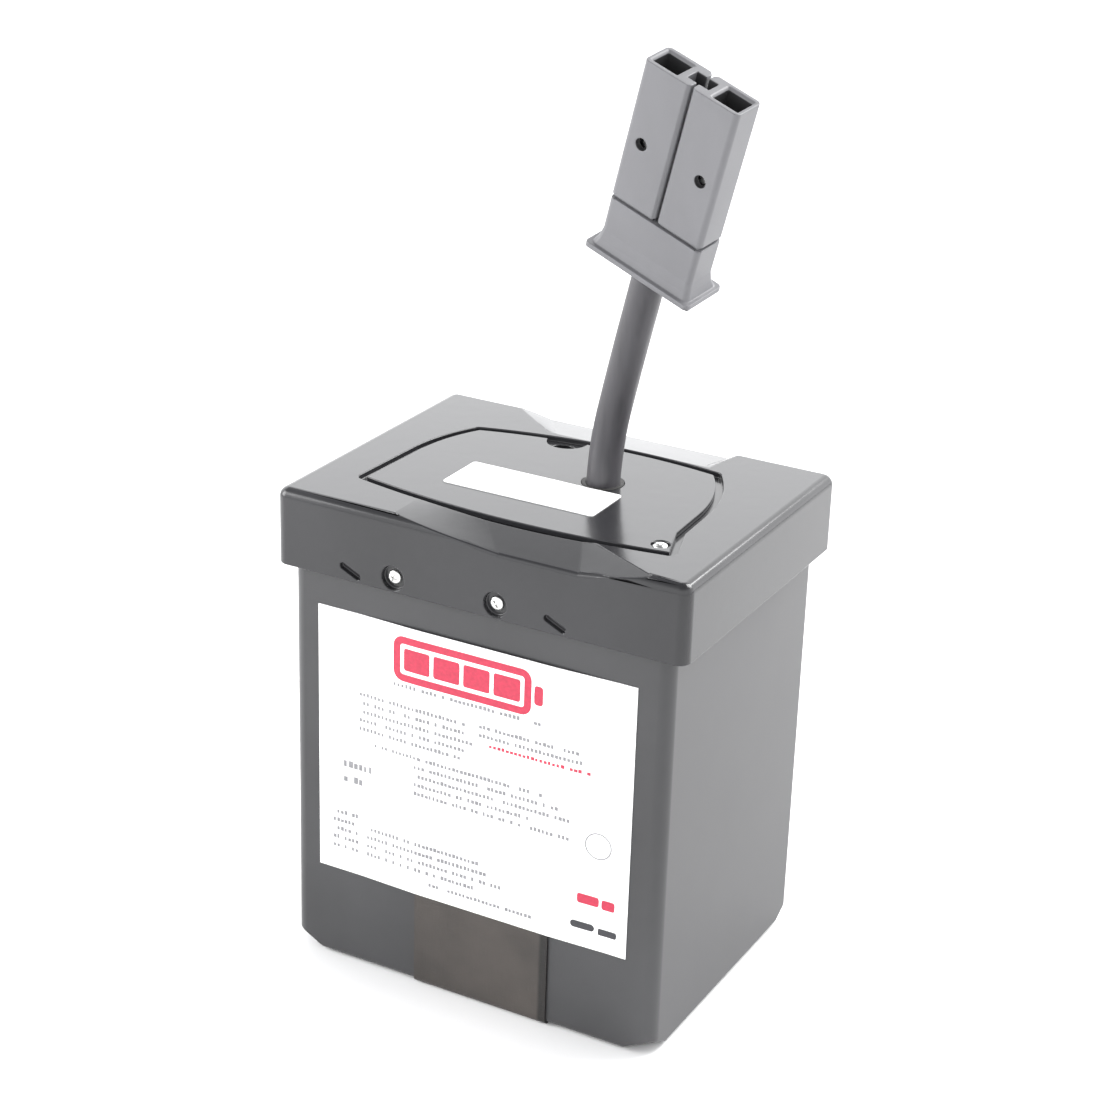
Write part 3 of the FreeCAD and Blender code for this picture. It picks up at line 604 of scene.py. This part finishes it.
def print_rows_tree():
    """Rows of small bars with gaps like those between words, laid on a film by casting rays at it."""
    narrowest, widest, lowest = 0.55, 0.85, 0.7  # a bar's least and most share of its room
    group = Group("print_rows", {
        "Film": "Object", "Left": "Float", "Bottom": "Float", "Width": "Float", "Rows": "Int",
        "Row Pitch": "Float", "Bar Height": "Float", "Bar Pitch": "Float", "Ragged": "Float",
        "Gaps": "Float", "Thickness": "Float", "Seed": "Int", "Ink": "Material",
    })
    given = group.given
    per_row = group.math("FLOOR", group.math("DIVIDE", given["Width"], given["Bar Pitch"]))
    index = group.add("GeometryNodeInputIndex").outputs[0]
    column = group.math("FLOORED_MODULO", index, per_row)
    row = group.math("FLOOR", group.math("DIVIDE", index, per_row))
    x = group.math("MULTIPLY_ADD", column, given["Bar Pitch"], given["Left"])
    z = group.math("MULTIPLY_ADD", row, given["Row Pitch"], given["Bottom"])
    points = group.add("GeometryNodePoints", {
        "Count": group.math("MULTIPLY", per_row, given["Rows"]), "Position": group.vector(x, FRONT, z),
    })
    gap = group.add("FunctionNodeRandomValue", data_type="BOOLEAN")
    group.feed(gap.inputs["Probability"], given["Gaps"])
    group.feed(gap.inputs["Seed"], given["Seed"])
    row_end = group.add("FunctionNodeRandomValue", data_type="FLOAT")
    group.feed(row_end.inputs[LEAST_NUMBER], group.math("SUBTRACT", 1.0, given["Ragged"]))
    group.feed(row_end.inputs["ID"], row)
    group.feed(row_end.inputs["Seed"], given["Seed"])
    last_column = group.math("MULTIPLY", row_end.outputs[RANDOM_NUMBER], per_row)
    past_end = group.math("GREATER_THAN", column, last_column)
    unwanted = group.math("MAXIMUM", past_end, gap.outputs[RANDOM_CHOICE])
    kept = group.add("GeometryNodeDeleteGeometry", {
        "Geometry": points.outputs[0], "Selection": unwanted,
    })
    film = group.add("GeometryNodeObjectInfo", {"Object": given["Film"]})
    ray = group.add("GeometryNodeRaycast", {
        "Target Geometry": film.outputs["Geometry"], "Ray Direction": (0, 1, 0),
        "Ray Length": -2 * FRONT,
    })
    laid = group.add("GeometryNodeSetPosition", {
        "Geometry": kept.outputs[0], "Position": ray.outputs["Hit Position"],
    })
    bar = group.add("GeometryNodeMeshCube")
    footed = group.add("GeometryNodeTransform", {
        "Geometry": bar.outputs[0], "Translation": (0.5, 0, 0.5),
    })
    depth = group.math("MULTIPLY", given["Thickness"], 2.0)
    size = group.add("FunctionNodeRandomValue", data_type="FLOAT_VECTOR")
    low = group.vector(
        group.math("MULTIPLY", given["Bar Pitch"], narrowest), depth,
        group.math("MULTIPLY", given["Bar Height"], lowest),
    )
    high = group.vector(
        group.math("MULTIPLY", given["Bar Pitch"], widest), depth, given["Bar Height"]
    )
    group.feed(size.inputs[LEAST_VECTOR], low)
    group.feed(size.inputs[MOST_VECTOR], high)
    group.feed(size.inputs["Seed"], given["Seed"])
    bars = group.add("GeometryNodeInstanceOnPoints", {
        "Points": laid.outputs[0], "Instance": footed.outputs[0], "Scale": size.outputs[RANDOM_VECTOR],
    })
    return group.end(bars.outputs[0], given["Ink"])


def screw_row_tree():
    """Copies of one screw in a straight row, each turned about its own axis by chance."""
    group = Group("screw_row", {
        "Screw": "Object", "Count": "Int", "Start": "Vector", "Step": "Vector", "Facing": "Rotation",
        "Seed": "Int", "Steel": "Material",
    })
    given = group.given
    row = group.add("GeometryNodeMeshLine", {
        "Count": given["Count"], "Start Location": given["Start"], "Offset": given["Step"],
    })
    screw = group.add("GeometryNodeObjectInfo", {"Object": given["Screw"]})
    placed = group.add("GeometryNodeInstanceOnPoints", {
        "Points": row.outputs[0], "Instance": screw.outputs["Geometry"], "Rotation": given["Facing"],
    })
    spin = group.add("FunctionNodeRandomValue", data_type="FLOAT")
    group.feed(spin.inputs[MOST_NUMBER], math.pi)
    group.feed(spin.inputs["Seed"], given["Seed"])
    turned = group.add("GeometryNodeRotateInstances", {
        "Instances": placed.outputs[0], "Rotation": group.vector(z=spin.outputs[RANDOM_NUMBER]),
    })
    return group.end(turned.outputs[0], given["Steel"])


# ------------------------ pieces
class CARTRIDGE_OT_stage(Operator):
    """Floor, studio light and camera"""

    bl_idname = "cartridge.stage"
    bl_label = "Stage"

    def execute(self, context):
        settings = context.scene.cartridge_stage
        self.floor(settings)
        self.backdrop(context, settings)
        self.lights(settings)
        self.camera(context, settings)
        return {"FINISHED"}

    def floor(self, settings):
        half = settings.floor_size / 2
        mesh = bpy.data.meshes.new("floor")
        corners = [(-half, -half, 0), (half, -half, 0), (half, half, 0), (-half, half, 0)]
        mesh.from_pydata(corners, [], [(0, 1, 2, 3)])
        floor = new_object("floor", mesh)
        shader = Shader("floor_paint", settings.floor_colour, roughness=0.7)
        shader.rough(shader.noise(scale=20, detail=3), low=0.65, high=0.8)
        set_material(floor, shader.material)

    def backdrop(self, context, settings):
        """A lit sweep behind, dimmer in front and darker overhead."""
        world = bpy.data.worlds.new("studio")
        context.scene.world = world
        world.use_nodes = True
        tree = world.node_tree
        place = tree.nodes.new("ShaderNodeTexCoord")
        split = tree.nodes.new("ShaderNodeSeparateXYZ")
        round_about = tree.nodes.new("ShaderNodeMapRange")
        upwards = tree.nodes.new("ShaderNodeMapRange")
        front_to_back, side_to_top = (-0.1, 0.5), (0.44, 0.95)  # where on a unit sphere each fades
        for ramp, (low, high) in ((round_about, front_to_back), (upwards, side_to_top)):
            ramp.interpolation_type = "SMOOTHSTEP"
            ramp.inputs["From Min"].default_value = low
            ramp.inputs["From Max"].default_value = high
        round_about.inputs["To Min"].default_value = settings.front_strength
        round_about.inputs["To Max"].default_value = settings.sweep_strength
        upwards.inputs["To Max"].default_value = settings.sky_strength
        tree.links.new(place.outputs["Generated"], split.inputs["Vector"])
        tree.links.new(split.outputs["Y"], round_about.inputs["Value"])
        tree.links.new(split.outputs["Z"], upwards.inputs["Value"])
        tree.links.new(round_about.outputs["Result"], upwards.inputs["To Min"])
        tree.links.new(upwards.outputs["Result"], tree.nodes["Background"].inputs["Strength"])
        tree.nodes["Background"].inputs["Color"].default_value = (*settings.studio_colour, 1)

    def lights(self, settings):
        for name in ("key", "fill"):
            place = Vector(getattr(settings, name + "_place"))
            data = bpy.data.lights.new(name + "_light", "AREA")
            data.size = getattr(settings, name + "_size")
            data.energy = getattr(settings, name + "_power")
            light = new_object(name + "_light", data)
            light.location = place
            light.rotation_euler = (Vector(settings.aim) - place).to_track_quat("-Z", "Y").to_euler()

    def camera(self, context, settings):
        azimuth, elevation = settings.azimuth, settings.elevation
        back = Vector((
            math.sin(azimuth) * math.cos(elevation),
            -math.cos(azimuth) * math.cos(elevation),
            math.sin(elevation),
        ))
        data = bpy.data.cameras.new("camera")
        data.lens = settings.lens
        camera = new_object("camera", data)
        upright = back.to_track_quat("Z", "Y").to_matrix().to_4x4()
        lean = Matrix.Rotation(settings.roll, 4, "Z")
        stand = Matrix.Translation(Vector(settings.aim) + back * settings.distance)
        camera.matrix_world = stand @ upright @ lean
        context.scene.camera = camera
        context.scene.view_settings.view_transform = "Standard"


class CARTRIDGE_OT_lead(Operator):
    """The jacketed lead between the lid and the connector"""

    bl_idname = "cartridge.lead"
    bl_label = "Lead"

    def execute(self, context):
        settings = context.scene.cartridge_lead
        curve = bpy.data.curves.new("lead_jacket", "CURVE")
        curve.dimensions = "3D"
        curve.bevel_depth = settings.diameter / 2
        curve.bevel_resolution = 10
        curve.resolution_u = 24
        curve.use_fill_caps = True
        spline = curve.splines.new("NURBS")
        spline.points.add(len(LEAD_ROUTE) - 1)
        for point, place in zip(spline.points, LEAD_ROUTE):
            point.co = (*place, 1)
        spline.order_u = 3
        spline.use_endpoint_u = True
        lead = new_object("lead_jacket", curve)
        curve.materials.append(jacket_pvc(settings))
        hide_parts("cable_jacket")
        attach(lead, BODY)
        return {"FINISHED"}


class CARTRIDGE_OT_block(Operator):
    """The sealed block with its band and hidden inner pieces"""

    bl_idname = "cartridge.block"
    bl_label = "Block"

    def execute(self, context):
        settings = context.scene.cartridge_block
        satin = container_satin(settings)
        softened("battery_container", "container_moulding", settings.container_edge, satin)
        finish_nodes(satin, "battery_cover", "vent_plate")
        finish_nodes(band_tape(settings), "base_band")
        rubber = rubber_black()
        finish_nodes(rubber, "vent_caps", "cable_grommet")
        tin = metal("tin_plate", (0.7, 0.68, 0.62), roughness=0.3, streaks=900)
        finish_nodes(
            tin, "terminal_positive", "terminal_negative", "receptacle_positive", "receptacle_negative"
        )
        finish_nodes(insulation("red_insulation", (0.5, 0.03, 0.03)), "lead_positive")
        finish_nodes(insulation("black_insulation", (0.025, 0.025, 0.025)), "lead_negative")
        return {"FINISHED"}


class CARTRIDGE_OT_cap(Operator):
    """The glossy cap, the panel in its lid and the screws"""

    bl_idname = "cartridge.cap"
    bl_label = "Cap"

    def execute(self, context):
        settings = context.scene.cartridge_block
        gloss = cap_gloss(settings)
        low, high = node_box("cap_shell")
        lip_top, lip_foot = high.z - 0.3 * MM, high.z - 4 * MM
        lip_back = low.y + 0.02 * MM

        def is_lip(edge):
            """Whether an edge is where the front scoop runs out through the skirt."""
            ends = [vert.co for vert in edge.verts]
            return all(end.y < lip_back and lip_foot < end.z < lip_top for end in ends)

        softened(
            "cap_shell", "cap_moulding", settings.cap_edge, gloss,
            wide=settings.lip_edge, is_wide=is_lip,
        )
        softened("cap_panel", "lid_panel", settings.panel_edge, gloss)
        self.screws(settings)
        return {"FINISHED"}

    def screws(self, settings):
        zinc = metal("screw_zinc", (0.78, 0.78, 0.77), roughness=0.22, streaks=1200)
        tree = screw_row_tree()
        low, high = node_box("skirt_screws")
        radius, height = settings.head_radius, settings.head_height
        start = Vector((low.x + radius, low.y + height, (low.z + high.z) / 2))
        step = Vector((high.x - low.x - 2 * radius, 0, 0))
        forward = Euler((math.radians(90), 0, 0))
        shank = high.y - start.y
        self.row("skirt_screw_row", "skirt_screws", tree, zinc, settings, start, step, forward, shank)
        low, high = node_box("panel_screw")
        start = Vector(((low.x + high.x) / 2, (low.y + high.y) / 2, high.z - height))
        shank = start.z - low.z
        self.row("lid_screw", "panel_screw", tree, zinc, settings, start, Vector(), Euler(), shank)

    def row(self, name, node, tree, steel, settings, start, step, facing, shank_length):
        pattern = self.pattern(settings, shank_length)
        piece = grown(
            name, tree, screw=pattern, count=2 if step.length else 1, start=start, step=step,
            facing=facing, seed=settings.screw_seed, steel=steel,
        )
        bpy.data.objects.remove(pattern)
        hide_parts(node)
        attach(piece, BODY)

    def pattern(self, settings, shank_length):
        """A screw with a domed head over the origin, and a cross recess cut into it."""
        radius, height, shank = settings.head_radius, settings.head_height, settings.shank_radius
        rim = height * 0.3  # the straight part of the head, below its dome
        dome_steps, turn_steps = 8, 48
        outline = [(0, -shank_length), (shank, -shank_length), (shank, 0), (radius, 0)]
        for step in range(dome_steps + 1):
            rise = math.radians(90) * step / dome_steps
            outline.append((radius * math.cos(rise), rim + (height - rim) * math.sin(rise)))
        build = bmesh.new()
        verts = [build.verts.new((x, 0, z)) for x, z in outline]
        edges = [build.edges.new(pair) for pair in zip(verts, verts[1:])]
        bmesh.ops.spin(
            build, geom=verts + edges, axis=(0, 0, 1), angle=math.tau, steps=turn_steps,
            use_duplicate=False,
        )
        bmesh.ops.remove_doubles(build, verts=build.verts, dist=WELD)
        bmesh.ops.recalc_face_normals(build, faces=build.faces)
        screw = new_object("screw_pattern", mesh_from(build, "screw_pattern"))
        cutter = new_object("recess_cutter", self.recess(settings))
        cut = screw.modifiers.new("Cross recess", "BOOLEAN")
        cut.object = cutter
        cut.use_self = True
        evaluated = screw.evaluated_get(bpy.context.evaluated_depsgraph_get())
        mesh = bpy.data.meshes.new_from_object(evaluated)
        mesh.shade_smooth()
        mesh.set_sharp_from_angle(angle=SCREW_SHARP)
        screw.modifiers.remove(cut)
        screw.data = mesh
        bpy.data.objects.remove(cutter)
        return screw

    def recess(self, settings):
        """Two crossed wedges that narrow towards the recess's floor."""
        floor = settings.head_height - settings.recess_depth
        top = settings.head_height * 1.2  # above the dome, so that the cut is open
        top_reach, floor_reach = settings.head_radius * 0.66, settings.head_radius * 0.2
        top_half = settings.recess_width / 2
        floor_half = top_half * 0.8
        build = bmesh.new()
        for turn in (0, 90):
            lie = Matrix.Rotation(math.radians(turn), 4, "Z")
            made = bmesh.ops.create_cube(build, size=1)["verts"]
            for vert in made:
                is_top = vert.co.z > 0
                x = math.copysign(top_reach if is_top else floor_reach, vert.co.x)
                y = math.copysign(top_half if is_top else floor_half, vert.co.y)
                vert.co = lie @ Vector((x, y, top if is_top else floor))
        return mesh_from(build, "recess_cutter")


class CARTRIDGE_OT_connector(Operator):
    """The two-pole connector with its collar and contacts"""

    bl_idname = "cartridge.connector"
    bl_label = "Connector"

    def execute(self, context):
        settings = context.scene.cartridge_connector
        grey = connector_grey(settings)
        made = [softened("connector_collar", "collar_moulding", settings.edge, grey)]
        silver = metal("contact_silver", (0.8, 0.78, 0.74), roughness=0.28, streaks=700)
        spring = metal("spring_steel", (0.6, 0.6, 0.6), roughness=0.25, streaks=900)
        for pole in ("positive", "negative"):
            housing = "connector_housing_" + pole
            made.append(softened(
                housing, "housing_moulding_" + pole, settings.edge, grey,
                hollow_reach=settings.hollow_reach,
            ))
            finish_nodes(silver, "contact_" + pole)
            finish_nodes(spring, "contact_spring_" + pole)
            made += [NODES["contact_" + pole], NODES["contact_spring_" + pole]]
        return {"FINISHED"}


class CARTRIDGE_OT_labels(Operator):
    """The front label with its print, and the plain label on the lid"""

    bl_idname = "cartridge.labels"
    bl_label = "Labels"

    def execute(self, context):
        settings = context.scene.cartridge_label
        white = label_film(settings)
        finish_nodes(white, "top_label")
        self.film = self.front_film(settings, white)
        self.lift = settings.ink_thickness
        inks = {
            "ink": ink("ink_grey", settings.ink_colour),
            "dark": ink("ink_black", settings.dark_ink_colour),
            "accent": ink("ink_red", settings.accent_colour),
        }
        self.small_print(settings, inks)
        self.battery_sign(settings, inks["accent"])
        for name, (*sizes, colour_name) in MARKS.items():
            build = bmesh.new()
            self.plate(build, *(size * MM for size in sizes))
            self.printed(build, name, inks[colour_name])
        return {"FINISHED"}

    def front_film(self, settings, white):
        """The front label's sheet, trimmed at three edges."""
        near = 1 * MM  # corners this close to a side of the sheet are on its edge
        low, high = node_box("front_label")
        film = new_object("front_film", NODES["front_label"].data.copy())
        for vert in film.data.vertices:
            place = vert.co
            if place.z - low.z < near:
                place.z += settings.bottom_trim
            if high.z - place.z < near:
                place.z -= settings.top_trim
            if place.x - low.x < near:
                place.x += settings.left_trim
        set_material(film, white)
        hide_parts("front_label")
        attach(film, BODY)
        return film

    def small_print(self, settings, inks):
        tree = print_rows_tree()
        for order, (name, row) in enumerate(PRINT.items()):
            left, bottom, width, rows, row_pitch, height, pitch, ragged, colour_name = row
            piece = grown(
                name, tree, film=self.film, left=left * MM, bottom=bottom * MM, width=width * MM,
                rows=rows, row_pitch=row_pitch * MM, bar_height=height * MM, bar_pitch=pitch * MM,
                ragged=ragged, gaps=settings.word_gaps, thickness=self.lift, seed=settings.seed + order,
                ink=inks[colour_name],
            )
            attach(piece, BODY)

    def battery_sign(self, settings, red):
        """A plain battery lying on its side: a rounded outline, its pole and bars of charge."""
        left, bottom, height = settings.sign_left, settings.sign_bottom, settings.sign_height
        stroke = settings.sign_stroke
        case_radius, bar_radius, gap = 1.4 * stroke, 0.3 * stroke, 0.55 * stroke
        pole_gap = pole_radius = 0.4 * stroke
        pole_width, pole_height = 1.2 * stroke, 0.42 * height
        case_width = settings.sign_width - pole_gap - pole_width
        build = bmesh.new()
        self.plate(build, left, bottom, case_width, height, case_radius, stroke)
        pole_left = left + case_width + pole_gap
        pole_bottom = bottom + (height - pole_height) / 2
        self.plate(build, pole_left, pole_bottom, pole_width, pole_height, pole_radius, 0)
        inner_width = case_width - 2 * stroke - gap
        pitch = inner_width / settings.sign_bars
        for count in range(settings.sign_bars):
            bar_left = left + stroke + gap + count * pitch
            bar_height = height - 2 * stroke - 2 * gap
            self.plate(build, bar_left, bottom + stroke + gap, pitch - gap, bar_height, bar_radius, 0)
        self.printed(build, "battery_sign", red)

    def plate(self, build, left, bottom, width, height, radius, stroke):
        """A rounded rectangle, filled or as an outline, in steps short enough to follow the film."""
        outer = self.outline(left, bottom, width, height, radius)
        if stroke:
            inner = self.outline(
                left + stroke, bottom + stroke, width - 2 * stroke, height - 2 * stroke,
                max(radius - stroke, radius * 0.1),
            )
        else:
            middle = bottom + height / 2
            inner = [(x, middle) for x, _ in outer]
        outside = [build.verts.new((x, 0, z)) for x, z in outer]
        inside = [build.verts.new((x, 0, z)) for x, z in inner]
        for index in range(len(outer)):
            after = (index + 1) % len(outer)
            build.faces.new((outside[index], outside[after], inside[after], inside[index]))

    def outline(self, left, bottom, width, height, radius):
        """Points round a rounded rectangle, with its sides divided."""
        corner_steps, side_parts = 6, 24
        low_x, high_x = left + radius, left + width - radius
        low_z, high_z = bottom + radius, bottom + height - radius
        corners = ((low_x, low_z, 180), (high_x, low_z, 270), (high_x, high_z, 0), (low_x, high_z, 90))
        points = []
        for (x, z, turn), (next_x, next_z, _) in zip(corners, corners[1:] + corners[:1]):
            for step in range(corner_steps + 1):
                angle = math.radians(turn + 90 * step / corner_steps)
                points.append((x + radius * math.cos(angle), z + radius * math.sin(angle)))
            run = Vector((next_x - x, next_z - z))
            last = Vector(points[-1])
            for step in range(1, side_parts):
                points.append(tuple(last + run * step / side_parts))
        return points

    def printed(self, build, name, material):
        """Lay flat shapes on the film, give them the ink's thickness and keep them as a piece."""
        bmesh.ops.remove_doubles(build, verts=build.verts, dist=WELD)
        for vert in build.verts:
            place = self.film.ray_cast((vert.co.x, FRONT, vert.co.z), (0, 1, 0))[1]
            vert.co.y = place.y - self.lift
        bmesh.ops.recalc_face_normals(build, faces=build.faces)
        front = [face for face in build.faces if face.normal.y > 0]
        bmesh.ops.reverse_faces(build, faces=front)
        bmesh.ops.solidify(build, geom=build.faces[:], thickness=2 * self.lift)
        bmesh.ops.recalc_face_normals(build, faces=build.faces)
        piece = new_object(name, mesh_from(build, name))
        set_material(piece, material)
        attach(piece, BODY)


class CARTRIDGE_PT_panel(Panel):
    """Sizes and colours of the cartridge, and the operators that make it"""

    bl_label = "UPS battery cartridge"
    bl_idname = "CARTRIDGE_PT_panel"
    bl_space_type = "VIEW_3D"
    bl_region_type = "UI"
    bl_category = "Cartridge"

    def draw(self, context):
        for operator, pointer in OPERATORS:
            box = self.layout.box()
            settings = getattr(context.scene, pointer)
            for name in settings.bl_rna.properties.keys():
                if name not in ("rna_type", "name"):
                    box.prop(settings, name)
            box.operator(operator.bl_idname)


OPERATORS = [
    (CARTRIDGE_OT_stage, "cartridge_stage"),
    (CARTRIDGE_OT_lead, "cartridge_lead"),
    (CARTRIDGE_OT_block, "cartridge_block"),
    (CARTRIDGE_OT_cap, "cartridge_block"),
    (CARTRIDGE_OT_connector, "cartridge_connector"),
    (CARTRIDGE_OT_labels, "cartridge_label"),
]
SETTINGS = {
    "cartridge_stage": StageSettings,
    "cartridge_block": BlockSettings,
    "cartridge_lead": LeadSettings,
    "cartridge_connector": ConnectorSettings,
    "cartridge_label": LabelSettings,
}


def register():
    for pointer, group in SETTINGS.items():
        bpy.utils.register_class(group)
        setattr(bpy.types.Scene, pointer, PointerProperty(type=group))
    for operator, _ in OPERATORS:
        bpy.utils.register_class(operator)
    bpy.utils.register_class(CARTRIDGE_PT_panel)


def unregister():
    bpy.utils.unregister_class(CARTRIDGE_PT_panel)
    for operator, _ in reversed(OPERATORS):
        bpy.utils.unregister_class(operator)
    for pointer, group in SETTINGS.items():
        delattr(bpy.types.Scene, pointer)
        bpy.utils.unregister_class(group)


def main():
    register()
    for operator, _ in OPERATORS:
        group, name = operator.bl_idname.split(".")
        getattr(getattr(bpy.ops, group), name)()


if __name__ == "__main__":
    main()
